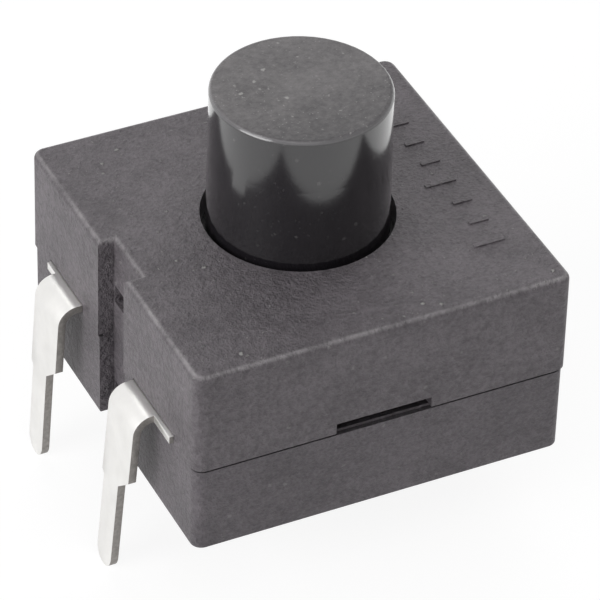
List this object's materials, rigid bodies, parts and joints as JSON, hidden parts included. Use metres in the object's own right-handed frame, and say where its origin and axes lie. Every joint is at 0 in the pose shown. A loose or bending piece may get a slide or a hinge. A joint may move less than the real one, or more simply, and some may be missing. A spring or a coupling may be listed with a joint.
{
  "type": "flashlight push button switch",
  "caption": "Square board-mount push button switch with a tall round button, an indexing rotor and contact star inside, and two bent flat terminals on one side",
  "frame": {"origin": "centre of the housing's underside, on the board's face", "axes": "+Z out along the button, -X the side that both terminals leave, -Y the side with the snap latch slot seen from the front"},
  "size_m": [0.0133, 0.012, 0.0137],
  "materials": {
    "housing_plastic": "charcoal, fine spark-eroded grain, a little dust",
    "base_plastic": "charcoal, fine spark-eroded grain",
    "button_plastic": "black, glossy sides, matte top",
    "rotor_plastic": "natural acetal",
    "star_brass": "rolled spring strip",
    "spring_steel": "drawn wire",
    "tinned_brass": "bright tin plate",
    "contact_silver": "turned silver"
  },
  "bodies": {
    "housing": {"cover": "housing_plastic", "base": "base_plastic", "terminal_front": "tinned_brass", "terminal_rear": "tinned_brass", "fixed_contact_front": "contact_silver", "fixed_contact_rear": "contact_silver"},
    "button": {"push_button": "button_plastic", "return_spring": "spring_steel"},
    "rotor": {"rotor": "rotor_plastic", "contact_star": "star_brass", "moving_contact_1": "contact_silver", "moving_contact_2": "contact_silver", "moving_contact_3": "contact_silver", "moving_contact_4": "contact_silver"}
  },
  "joints": [
    {"name": "button_press", "type": "slide", "parent": "housing", "child": "button", "axis": [0, 0, 1], "range_m": [-0.0012, 0], "stiffness_N_per_m": 900, "springref_m": 0.001, "deforming": ["return_spring"]},
    {"name": "rotor_turn", "type": "hinge", "parent": "housing", "child": "rotor", "pos_m": [0, 0, 0.0018], "axis": [0, 0, 1], "range_deg": [0, 45]}
  ],
  "couplings": [
    {"joint": "rotor_turn", "follows": "button_press", "rad_per_m": -654.5}
  ]
}
